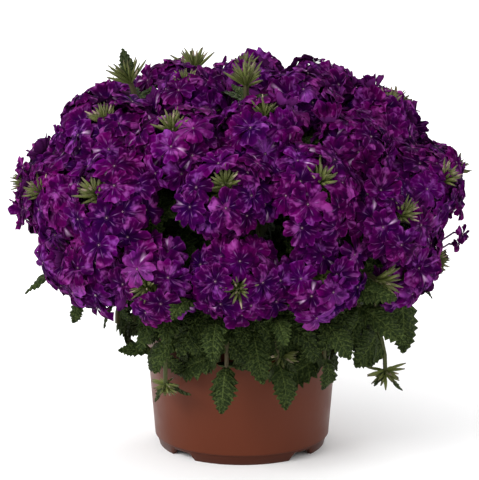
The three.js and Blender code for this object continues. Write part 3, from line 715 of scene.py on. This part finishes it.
def add_leaf(shape, root, direction, face, length, droop, teeth=8, columns=9, wide=LEAF_SHAPE):
    """A toothed leaf with sunken veins, that starts at root along direction and droops."""
    rows = 2 * teeth + 1
    row = np.arange(rows)[:, None]
    across = np.linspace(-1, 1, columns)
    edge = abs(across)
    tooth = row % 2
    station = row / (rows - 1)
    half = length * wide / 2 * np.sin(pi * station ** 0.62) ** 0.8 + 0.8 * (1 - station)
    cut = np.where(tooth == 1, 1.08, 1 - 0.26 * edge ** 3)
    cut = cut * (1 + shape.vary(-0.08, 0.08, (rows, 1)) * edge)
    slant = (0.28 * edge + 0.03 * tooth * edge ** 3) * (1 - station) ** 0.7 * np.minimum(1, station * 3)
    along = station + slant
    wave = 0.2 * np.sin(station * shape.vary(7, 12) + shape.vary(0, 6) + across * shape.vary(0, 3))
    pleat = length * 0.02 * np.where(tooth == 1, -1, 1) * (1 - edge ** 4) * np.sin(pi * station) ** 0.5
    gutter = length * 0.03 * np.exp(-(across / 0.18) ** 2)
    sway = length * shape.vary(-0.1, 0.1) * station ** 2
    side = unit(np.cross(direction, square_to(face, direction)))
    above = np.cross(side, direction)
    bend = radians(droop)
    turned = bend * along
    width = across * half * cut
    lift = pleat - gutter - abs(width) * shape.vary(-0.1, 0.4) + wave * half * edge ** 2
    level = length / bend * np.sin(turned) + np.sin(turned) * lift
    drop = -length / bend * (1 - np.cos(turned)) + np.cos(turned) * lift
    points = root + side * (width + sway)[..., None] + direction * level[..., None]
    points = points + above * drop[..., None]
    marks = marked((rows, columns), station * teeth / 10, across / 2 + 0.5, shape.vary(0, 1))
    up = direction * sin(bend / 2) + above * cos(bend / 2)
    add_blades(shape, points[None], up * LEAF_THICKNESS, LEAF, marks[None])


def add_leaf_pairs(shape, points, shares, size, face, droops=(30, 80), **more):
    """Opposite leaves along a stalk, each pair turned square to the pair before it."""
    for number, share in enumerate(shares):
        root, forward, side = on_path(points, share)
        across = leaned(forward, side, 90, 90 * number + shape.vary(-25, 25))
        for sign in (-1, 1):
            direction = unit(across * sign + forward * shape.vary(0.3, 1) + UP * 0.1)
            length = size * shape.vary(0.75, 1.1)
            add_leaf(shape, root, direction, face, length, shape.vary(*droops), **more)


# Stems with their stalks, shoots, bud tufts and leaves. The pairs of leaves that the frame may
# have too stand at these shares of a stalk, and each has a seed for its length.

SQUARE = [1, 0.84] * 4
BUD_LEAVES = ((0.95, 50), (0.6, 51))
HEAD_LEAVES = ((0.55, 50),)
INNER_LEAVES = dict(shares=(0.4, 0.65, 0.9), size=38, teeth=6, columns=5, wide=0.64)


def add_stalk(shape, path, radii):
    add_tubes(shape, path[None], radii, SQUARE, STEM, shape.vary(0, 1))


def add_stem(stem):
    shape = stem.shape
    for place, one in enumerate(stem.members):
        facing, side = one.facing, one.side
        route = find_stalk(stem, one, place)
        rough, fine = route(2), route(10)
        stem.paths.append(fine)
        tip = one.place + facing * (HEAD_TUFT_HEIGHT if one.tufted else PLAIN_HEAD_HEIGHT)
        foot = [] if place else [stem.foot, stem.collar, stem.elbow]
        path = np.array([*foot, *fine, one.place - facing, tip])
        radii = np.full(len(path), STALK_RADIUS)
        if foot:
            radii[:4] = MAIN_STEM_RADIUS
            radii[4:8] = np.linspace(MAIN_STEM_RADIUS, STALK_RADIUS, 4)
        add_stalk(shape, path, radii)
        if one.bud:
            add_tuft(shape, tip, facing, side, BUD_TUFT_SIZE * 0.82, 30, 50)
            add_bracts(shape, one.place - facing * 2, facing, side, 6, 20)
            if one.proud > 10:
                add_spike(shape, tip, unit(facing + UP), side)
        leaves = BUD_LEAVES if one.bud else HEAD_LEAVES
        marks = [(share, one.index * 3.7 + seed) for share, seed in leaves]
        for leaf in find_leaves(stem, rough, marks, STALK_LEAF_LENGTH, UP):
            add_leaf(shape, *leaf)
        add_leaf_pairs(shape, fine, face=UP * 0.7 + facing, **INNER_LEAVES)


def add_bracts(shape, root, facing, side, count, size, leans=(50, 85)):
    """Narrow leaves that stand round the foot of a bud tuft."""
    start = shape.vary(0, 360)
    for index in range(count):
        direction = leaned(facing, side, shape.vary(*leans), start + index * 360 / count)
        length = size * shape.vary(0.75, 1.25)
        add_leaf(shape, root, direction, facing, length, shape.vary(10, 50), 6, 7, 0.32)


def add_spike(shape, root, axis, side):
    """The young upright leaves of a tip that still grows."""
    side = square_to(side, axis)
    for index, length in enumerate((22, 19, 15, 13)):
        direction = leaned(axis, side, 4 + 5 * index, 180 * index + shape.vary(-30, 30))
        face = leaned(axis, side, 90, 180 * index + 180)
        add_leaf(shape, root, direction, face, length, shape.vary(8, 25), 6, 7, 0.3)


def add_rim_shoot(stem, turn, reach, height, tuft, leaf_length):
    shape = stem.shape
    route = shoot_route(stem, turn, reach, height)
    rough, fine = route(5), route(12)
    add_stalk(shape, fine, SHOOT_RADIUS)
    face = UP + heading(turn) * 1.6
    add_leaf_pairs(shape, fine, (0.5, 0.7, 0.86), 21, face, (50, 110), teeth=7, columns=7, wide=0.42)
    if tuft > 0:
        facing = unit(fine[-1] - fine[-2])
        side = sideways(facing)
        add_tuft(shape, fine[-1], facing, side, tuft * 0.78, 30, 100, stout=1.5)
        add_bracts(shape, fine[-1] - facing * 2, facing, side, 3, 17, leans=(15, 60))
    last = 0.78 if tuft > 0 else 0.95
    marks = [(0.42, turn + 500), (0.62, turn + 550), (last, turn + 600)]
    for leaf in find_leaves(stem, rough, marks, leaf_length, face):
        add_leaf(shape, *leaf, teeth=9)


def add_rim_leaves(stem, turn, reach, height, shares, size, droops):
    """A short leafy shoot that fills the room between the larger ones over the rim."""
    shape = stem.shape
    fine = shoot_route(stem, turn, reach, height)(10)
    add_stalk(shape, fine, SHOOT_RADIUS * 0.8)
    face = UP + heading(turn) * 1.4
    add_leaf_pairs(shape, fine, shares, size, face, droops, columns=7, wide=0.45)


def add_loose_leaf(stem, turn, reach, height, length, droop, lean, front):
    """A leaf on a thin side shoot from the nearest stalk, with two small ones below it."""
    shape = stem.shape
    root = heading(turn) * reach + UP * height
    points = np.concatenate(stem.paths)
    start = points[norm(points - root, axis=1).argmin()]
    direction = unit(heading(turn) + UP * lean)
    path = bezier(start, (start + root) / 2 + UP * 4, root - direction * 6, root, 8)
    add_stalk(shape, path, 0.8)
    add_leaf(shape, root - direction, direction, UP + heading(0) * front, length, droop, wide=0.4)
    side = square_to(sideways(direction), direction)
    for sign in (-1, 1):
        other = unit(side * sign + direction * 0.6)
        add_leaf(shape, root - direction * 5, other, UP, 12, 40, teeth=5, columns=7)


def nearest_stem(turn):
    return max(stems, key=lambda stem: np.dot(stem.middle[:2], heading(turn)[:2]))


# Pot and soil

POT_STEPS = 144
SOIL_STEPS = 96
SOIL_CRUMBS = 300


def full_turn(steps):
    return np.arange(steps) * 360 / steps


def arc(centre, radius, first, last):
    angles = np.radians(np.linspace(first, last, 5))
    return [(centre[0] + radius * cos(a), centre[1] + radius * sin(a)) for a in angles]


def inner_radius(height):
    foot = STEP_RING_RADIUS - POT_WALL
    top = POT_RIM_RADIUS - LIP_REACH - POT_WALL + 0.6
    return foot + (top - foot) * height / POT_HEIGHT


def notch_height(turns):
    """How high the foot is cut at a turn round the pot: four notches between four feet."""
    away = abs(abs((turns % 90) - 45))
    share = (NOTCH_FOOT_HALF_ANGLE - away) / (NOTCH_FOOT_HALF_ANGLE - NOTCH_TOP_HALF_ANGLE)
    return NOTCH_HEIGHT * np.clip(share, 0, 1)


def lathe(shape, rings, turns, tint=0):
    """A closed surface through rings of points, from one point on the axis to another."""
    grid = np.arange(len(turns) * len(rings)).reshape(len(rings), len(turns))
    last = np.full(len(turns), grid.size)
    first_cap = np.stack([last, np.roll(grid[0], -1), grid[0]], 1)
    last_cap = np.stack([last + 1, grid[-1], np.roll(grid[-1], -1)], 1)
    out = np.stack([np.sin(np.radians(turns)), -np.cos(np.radians(turns))], 1)
    points = [np.column_stack([out * np.broadcast_to(radius, len(turns))[:, None],
                               np.broadcast_to(height, len(turns))]) for radius, height in rings]
    ends = [[0, 0, np.mean(rings[0][1])], [0, 0, np.mean(rings[-1][1])]]
    faces = np.concatenate([*skin(grid), first_cap, last_cap])
    shape.add(np.concatenate(points + [ends])[None], faces, 0, [0, 0, 0, tint])


def make_pot():
    turns = full_turn(POT_STEPS)
    cuts = [45 + 90 * k + side * half for k in range(4) for side in (-1, 1)
            for half in (NOTCH_TOP_HALF_ANGLE, NOTCH_FOOT_HALF_ANGLE)]
    turns = np.unique(np.round(np.concatenate([turns, cuts]), 3))
    foot = notch_height(turns)
    inside = FOOT_RADIUS - FOOT_WIDTH
    ring, ring_height = STEP_RING_RADIUS, STEP_RING_HEIGHT
    slope = (ring - 1.1 - FOOT_RADIUS) / (ring_height - 0.6)
    wall_top = POT_RIM_RADIUS - LIP_REACH
    lip_foot = POT_HEIGHT - LIP_HEIGHT
    floor_top = FLOOR_UNDER + FLOOR_THICKNESS
    rings = [
        (inside - 0.6, FLOOR_UNDER),
        (inside, FLOOR_UNDER - 0.3),
        (inside, foot + 0.3),
        (inside + 0.3, foot),
        (FOOT_RADIUS - 0.4 + foot * slope, foot),
        (FOOT_RADIUS + foot * slope, foot + 0.4),
        (ring - 1.1, ring_height - 0.9),
        (ring - 1.0, ring_height - 0.5),
        *arc((ring - 0.5, ring_height), 0.5, -90, 0),
        (ring + 0.3, ring_height + 4),
        (wall_top - 0.2, lip_foot - 1.2),
        (wall_top, lip_foot - 0.4),
        (wall_top + 0.4, lip_foot),
        *arc((POT_RIM_RADIUS - 0.8, lip_foot + 0.8), 0.8, -90, 0),
        *arc((POT_RIM_RADIUS - 1, POT_HEIGHT - 1), 1, 0, 90),
        *arc((inner_radius(POT_HEIGHT) + 0.8, POT_HEIGHT - 0.8), 0.8, 90, 180),
        (inner_radius(floor_top + 2), floor_top + 2),
        (inner_radius(floor_top) - 1.5, floor_top),
    ]
    shape = Shape()
    lathe(shape, rings, turns)
    pot = shape.piece("pot_shell", [pot_plastic()], "pot_plastic", ["pot"], sharp=38)
    for index in range(DRAIN_HOLES):
        drill_hole(pot, index * 360 / DRAIN_HOLES)


def drill_hole(pot, turn):
    centre = heading(turn) * DRAIN_HOLE_CIRCLE
    shape = Shape()
    path = np.array([[centre, centre + UP * FLOOR_UNDER * 2]])
    add_tubes(shape, path, DRAIN_HOLE_RADIUS, [1] * 24, 0, 0)
    drill = shape.plain("drill")
    cut = pot.modifiers.new("hole", "BOOLEAN")
    cut.operation = "DIFFERENCE"
    cut.solver = "EXACT"
    cut.object = drill
    with bpy.context.temp_override(object=pot):
        bpy.ops.object.modifier_apply(modifier=cut.name)
    bpy.data.objects.remove(drill)


def make_soil():
    shape = Shape(SOIL_SEED)
    turns = full_turn(SOIL_STEPS)
    foot = FLOOR_UNDER + FLOOR_THICKNESS + CLEARANCE
    shy = 0.4
    top = SOIL_LEVEL
    rings = [(inner_radius(foot) - shy - 1.5, foot), (inner_radius(foot + 2) - shy, foot + 2),
             (inner_radius(top) - shy, top - 1.5)]
    for share in np.linspace(0.97, 0.04, 30):
        rough = shape.vary(-0.8, 0.8, len(turns)) * min(1, share * 2)
        crown = SOIL_CROWN * (1 - share ** 2)
        rings.append((inner_radius(top) * share - shy, top + crown - 0.6 + rough))
    lathe(shape, rings, turns, 0.5)

    # Crumbs of peat and bark on top
    for index in range(SOIL_CRUMBS):
        radius = inner_radius(top) * sqrt(shape.vary(0.002, 0.9))
        size = shape.vary(0.8, 2.5)
        height = top + SOIL_CROWN * 0.5 + shape.vary(-0.6, 1.2)
        centre = heading(index * GOLDEN_TURN) * radius + UP * height
        along = unit(shape.rng.normal(size=3)) * size * shape.vary(0.7, 1.5)
        path = np.array([[centre - along, centre - along * 0.3, centre + along * 0.4, centre + along]])
        section = shape.vary(0.6, 1, 5)
        add_tubes(shape, path, np.array([0.3, 0.9, 0.8, 0.25]) * size, section, 0, shape.vary(0, 1))
    shape.piece("soil_fill", [soil_crumbs()], "potting_soil", ["soil"], sharp=30)


# Finishes

HAIR_DEPTH = 0.0003


def tone(red, green, blue):
    """A colour given as it looks on a screen, from 0 to 255, in the shader's linear values."""
    def linear(value):
        value /= 255
        return value / 12.92 if value <= 0.04045 else ((value + 0.055) / 1.055) ** 2.4
    return (linear(red), linear(green), linear(blue), 1)


class Finish:
    """A procedural material round one Principled shader."""

    def __init__(self, name, roughness, specular):
        self.material = bpy.data.materials.new(name)
        self.material.use_nodes = True
        self.tree = self.material.node_tree
        self.inputs = self.tree.nodes["Principled BSDF"].inputs
        self.feed(self.inputs["Roughness"], roughness)
        self.feed(self.inputs["Specular IOR Level"], specular)

    def node(self, kind, **inputs):
        node = self.tree.nodes.new("ShaderNode" + kind)
        for key, value in inputs.items():
            self.feed(node.inputs[key], value)
        return node

    def feed(self, socket, value):
        if isinstance(value, bpy.types.NodeSocket):
            self.tree.links.new(value, socket)
        else:
            socket.default_value = value

    def marks(self):
        node = self.node("Attribute")
        node.attribute_name = "marks"
        parts = self.node("SeparateColor", Color=node.outputs["Color"])
        return *parts.outputs, node.outputs["Alpha"]

    def ramp(self, factor, *stops):
        node = self.node("ValToRGB", Fac=factor)
        elements = node.color_ramp.elements
        for place, _ in stops[2:]:
            elements.new(place)
        for element, (place, colour) in zip(elements, stops):
            element.position = place
            element.color = colour
        return node.outputs["Color"]

    def fade(self, factor, *stops):
        """A ramp of plain numbers from 0 to 1, for a share in a mix."""
        return self.ramp(factor, *((place, (value, value, value, 1)) for place, value in stops))

    def tones(self, factor, *stops):
        return self.ramp(factor, *((place, tone(*colour)) for place, *colour in stops))

    def mix(self, factor, first, second, how="MIX"):
        node = self.node("Mix", Factor=factor)
        node.data_type = "RGBA"
        node.blend_type = how
        self.feed(node.inputs[6], first)
        self.feed(node.inputs[7], second)
        return node.outputs[2]

    def maths(self, how, first, second=0):
        node = self.node("Math")
        node.operation = how
        self.feed(node.inputs[0], first)
        self.feed(node.inputs[1], second)
        return node.outputs[0]

    def times(self, first, second):
        return self.maths("MULTIPLY", first, second)

    def off_middle(self, across):
        """How far a point lies from its petal's fold or its leaf's midrib."""
        return self.maths("ABSOLUTE", self.maths("SUBTRACT", across, 0.5))

    def noise(self, scale, detail=3, vector=None):
        if vector is None:
            vector = self.node("TexCoord").outputs["Object"]
        return self.node("TexNoise", Vector=vector, Scale=scale, Detail=detail).outputs["Fac"]

    def bump(self, height, strength, distance):
        node = self.node("Bump", Height=height, Strength=strength, Distance=distance)
        self.feed(self.inputs["Normal"], node.outputs["Normal"])

    def lay(self, share, *colour):
        """Lays a tone over the colour so far, as strongly as the share says."""
        self.base = self.mix(share, self.base, tone(*colour))

    def hairs(self, scale, share, *colour):
        hairs = self.noise(scale, 2)
        self.bump(hairs, 0.5, HAIR_DEPTH)
        self.lay(self.times(hairs, share), *colour)

    def done(self):
        self.feed(self.inputs["Base Color"], self.base)
        return self.material


def petal_velvet():
    look = Finish("petal_velvet", 0.5, 0.006)
    along, across, under, tint = look.marks()
    # Along each petal: a pale eye, a dark throat, then lighter out to the margin, whose last lighter
    # step is a painted highlight, a sheen at the edge
    base = look.tones(along, (0, 70, 44, 76), (0.08, 18, 0, 34), (0.32, 30, 0, 50), (0.6, 49, 0, 49),
                      (0.9, 70, 0, 68), (1, 104, 26, 102))
    shade = look.tones(tint, (0, 32, 0, 44), (0.5, 53, 0, 51), (0.85, 88, 0, 82), (1, 134, 56, 134))
    look.base = look.mix(0.5, base, shade)

    # Painted shade and painted highlights: darker and lighter patches from a noise, standing in for
    # where the petals fold into shadow and swell into the light
    shade_and_highlight = look.noise(170, 2)
    look.lay(look.fade(shade_and_highlight, (0.34, 0.75), (0.48, 0)), 26, 0, 34)
    look.lay(look.fade(shade_and_highlight, (0.55, 0), (0.7, 0.8)), 130, 58, 132)

    # Bluer florets and redder ones
    hue = look.ramp(look.noise(42, 1), (0.36, (0.88, 0.9, 1.12, 1)), (0.5, (1, 1, 1, 1)),
                    (0.64, (1.08, 0.7, 0.9, 1)))
    look.base = look.mix(1, look.base, hue, "MULTIPLY")

    # Darker and lighter streaks that run out from the throat: a fine ribbed relief that the same streaks
    # bump, with painted shade in its grooves and painted highlights on its ridges
    place = look.node("CombineXYZ", X=look.times(across, 7), Y=look.times(along, 1.2),
                      Z=look.times(tint, 60))
    streaks = look.noise(1, 2, place.outputs[0])
    look.lay(look.fade(streaks, (0.3, 0.6), (0.48, 0)), 26, 0, 38)
    look.lay(look.times(look.fade(streaks, (0.58, 0), (0.76, 0.6)), along), 148, 76, 150)
    look.bump(streaks, 0.5, 0.0006)

    # A pale line along each petal's fold, near the throat
    fold = look.off_middle(across)
    near = look.fade(along, (0.1, 0), (0.25, 1), (0.6, 0))
    look.lay(look.times(look.fade(fold, (0, 0.7), (0.06, 0)), near), 140, 98, 150)

    # A few petals, drawn by their tint, are bleached along their fold
    lot = look.maths("FRACT", look.times(tint, 37))
    drawn = look.times(look.fade(lot, (0.93, 0), (0.95, 0.9)), look.fade(fold, (0, 1), (0.12, 0)))
    inner = look.fade(along, (0.3, 0), (0.5, 1), (0.98, 0))
    look.lay(look.times(drawn, inner), 196, 160, 196)
    look.lay(under, 98, 36, 103)
    return look.done()


def calyx_green():
    look = Finish("calyx_green", 0.6, 0.1)
    along, ribs, _, tint = look.marks()
    young = look.tones(along, (0, 98, 114, 38), (0.6, 106, 113, 56), (0.92, 112, 114, 76),
                       (1, 92, 74, 70))
    old = look.tones(along, (0, 70, 84, 28), (0.7, 76, 82, 42), (1, 54, 48, 38))
    look.base = look.mix(tint, young, old)
    # Painted shade: the grooves between the ribs are darker
    look.lay(look.maths("SUBTRACT", 1, ribs), 22, 30, 11)

    # The tips of the oldest have dried
    dried = look.times(look.fade(tint, (0.86, 0), (0.9, 1)), look.fade(along, (0.6, 0), (0.8, 1)))
    look.lay(dried, 150, 132, 118)
    look.hairs(1800, 0.25, 150, 154, 108)
    return look.done()


def corolla_tube():
    look = Finish("corolla_tube", 0.5, 0.1)
    along = look.marks()[0]
    look.base = look.tones(along, (0, 130, 110, 110), (0.5, 92, 50, 94), (0.9, 70, 30, 84),
                           (1, 124, 98, 112))
    look.lay(look.times(look.noise(400), 0.4), 60, 26, 66)
    return look.done()


def leaf_green():
    look = Finish("leaf_green", 0.5, 0.08)
    station, across, under, tint = look.marks()
    look.base = look.mix(tint, tone(12, 22, 7), tone(30, 44, 15))
    look.lay(look.noise(160), 34, 46, 18)

    # Side veins run out to the teeth from a midrib, and the blade bulges between them
    rows = look.maths("SUBTRACT", look.times(station, 10), 0.5)
    bulge = look.maths("PINGPONG", rows, 0.5)
    look.lay(look.fade(bulge, (0, 0.5), (0.1, 0)), 88, 102, 52)
    look.lay(look.fade(look.off_middle(across), (0, 0.6), (0.035, 0)), 92, 106, 56)
    # Fine wrinkles bump the blade, and painted highlights lighten the tops of the wrinkles
    wrinkles_and_highlights = look.noise(700)
    look.lay(look.fade(wrinkles_and_highlights, (0.48, 0), (0.66, 0.42)), 94, 108, 56)
    look.bump(look.maths("ADD", bulge, look.times(wrinkles_and_highlights, 1.2)), 1, 0.0018)
    look.lay(look.times(under, 0.7), 66, 76, 50)
    return look.done()


def stem_green():
    look = Finish("stem_green", 0.6, 0.1)
    _, ribs, _, tint = look.marks()
    look.base = look.mix(tint, tone(50, 60, 26), tone(58, 44, 34))
    look.lay(look.maths("SUBTRACT", 1, ribs), 26, 32, 15)
    look.hairs(1500, 0.3, 120, 122, 88)
    return look.done()


def pot_plastic():
    look = Finish("pot_plastic", 0.5, 0.15)
    look.base = look.mix(look.noise(18, 4), tone(79, 34, 16), tone(89, 40, 21))

    # Painted shade: the foot below the step ring is darker, as it stands back in shadow under the ring
    place = look.node("SeparateXYZ", Vector=look.node("TexCoord").outputs["Object"])
    rise = look.maths("DIVIDE", place.outputs["Z"], STEP_RING_HEIGHT * MM * 2)
    look.lay(look.fade(rise, (0.42, 0.7), (0.55, 0)), 56, 22, 10)
    look.feed(look.inputs["Roughness"], look.fade(look.noise(60), (0.3, 0.34), (0.75, 0.5)))
    look.bump(look.noise(900, 2), 0.12, 0.0002)
    return look.done()


def soil_crumbs():
    look = Finish("soil_crumbs", 0.95, 0.2)
    tint = look.marks()[3]
    look.base = look.mix(look.noise(500, 5), tone(30, 22, 16), tone(66, 50, 36))
    look.bump(look.noise(1200, 4), 0.8, 0.001)
    look.lay(look.times(tint, 0.4), 84, 60, 40)
    return look.done()


# The plant

HEAD_SEED = 100
STEM_SEED = 500
SOIL_SEED = 5

flower_finishes = [petal_velvet(), calyx_green(), corolla_tube()]
leaf_finishes = [leaf_green(), flower_finishes[1], stem_green()]

for head in heads:
    shape = Shape(HEAD_SEED + head.index)
    add_florets(shape, head)
    add_core(shape, head)
    if head.tufted:
        tip = head.place + head.facing * HEAD_TUFT_FOOT
        upright = unit(head.facing + UP * 0.35)
        add_tuft(shape, tip, upright, square_to(head.side, upright), head.reach / 30, 24, 42)
    shape.piece(head.node.replace("head", "flowers"), flower_finishes, "petals", [head.node])

for number, stem in enumerate(stems):
    stem.shape = Shape(STEM_SEED + number)
    add_stem(stem)
for shoot in RIM_SHOOTS:
    add_rim_shoot(nearest_stem(shoot[0]), *shoot)
for index in range(RIM_FILLERS):
    turn = FIRST_FILLER + index * 360 / RIM_FILLERS
    if BARE_RIM[0] < turn < BARE_RIM[1]:
        continue
    stem = nearest_stem(turn)
    reaches, less, heights, *leaves = FILLER_KINDS[index % 2]
    reach = stem.shape.vary(*reaches) - less * abs(sin(radians(turn)))
    add_rim_leaves(stem, turn, reach, stem.shape.vary(*heights), *leaves)
for leaf in LOOSE_LEAVES:
    add_loose_leaf(nearest_stem(leaf[0]), *leaf)
for stem in stems:
    name = stem.node.replace("stem", "leafy_stem")
    stem.shape.piece(name, leaf_finishes, "leaves", [stem.node])

make_pot()
make_soil()

# Floor, lights and camera, the last two placed in metres

FLOOR_REACH = 9000
FLOOR_TOP = -0.05
PLANT_MIDDLE = (0, 0, 0.14)
CAMERA_PLACE = (-0.00153, -1.5, 0.467)
CAMERA_AIM = (-0.00153, 0, 0.134)
CAMERA_LENS = 179.9


def make_floor():
    shape = Shape()
    rings = [(FLOOR_REACH, -1), (FLOOR_REACH + 1, -1), (FLOOR_REACH + 1, FLOOR_TOP), (1, FLOOR_TOP)]
    lathe(shape, rings, full_turn(64))
    ground = shape.plain("floor")
    look = Finish("pale_floor", 0.9, 0.1)
    look.base = tone(249, 249, 249)
    ground.data.materials.append(look.done())


def aim(thing, target):
    direction = Vector(target) - thing.location
    thing.rotation_euler = direction.to_track_quat("-Z", "Y").to_euler()


def make_light(name, place, size, power):
    data = bpy.data.lights.new(name, "AREA")
    data.shape = "DISK"
    data.size = size
    data.energy = power
    light = put_in_scene(name, data)
    light.location = place
    aim(light, PLANT_MIDDLE)


make_floor()
make_light("key", (-1.6, -1.5, 1.7), 1.3, 60)
make_light("fill", (1.8, -1.2, 0.9), 1.4, 3)
make_light("back", (0.6, 1.8, 1.8), 1.2, 20)

world = bpy.data.worlds.new("studio")
world.use_nodes = True
background = world.node_tree.nodes["Background"].inputs
background["Color"].default_value = (1, 1, 1, 1)
background["Strength"].default_value = 1.06
scene.world = world
scene.view_settings.view_transform = "Standard"

optics = bpy.data.cameras.new("camera")
optics.sensor_fit = "HORIZONTAL"
optics.sensor_width = 36
optics.lens = CAMERA_LENS
optics.clip_end = 100
camera = put_in_scene("camera", optics)
camera.location = CAMERA_PLACE
aim(camera, CAMERA_AIM)
scene.camera = camera
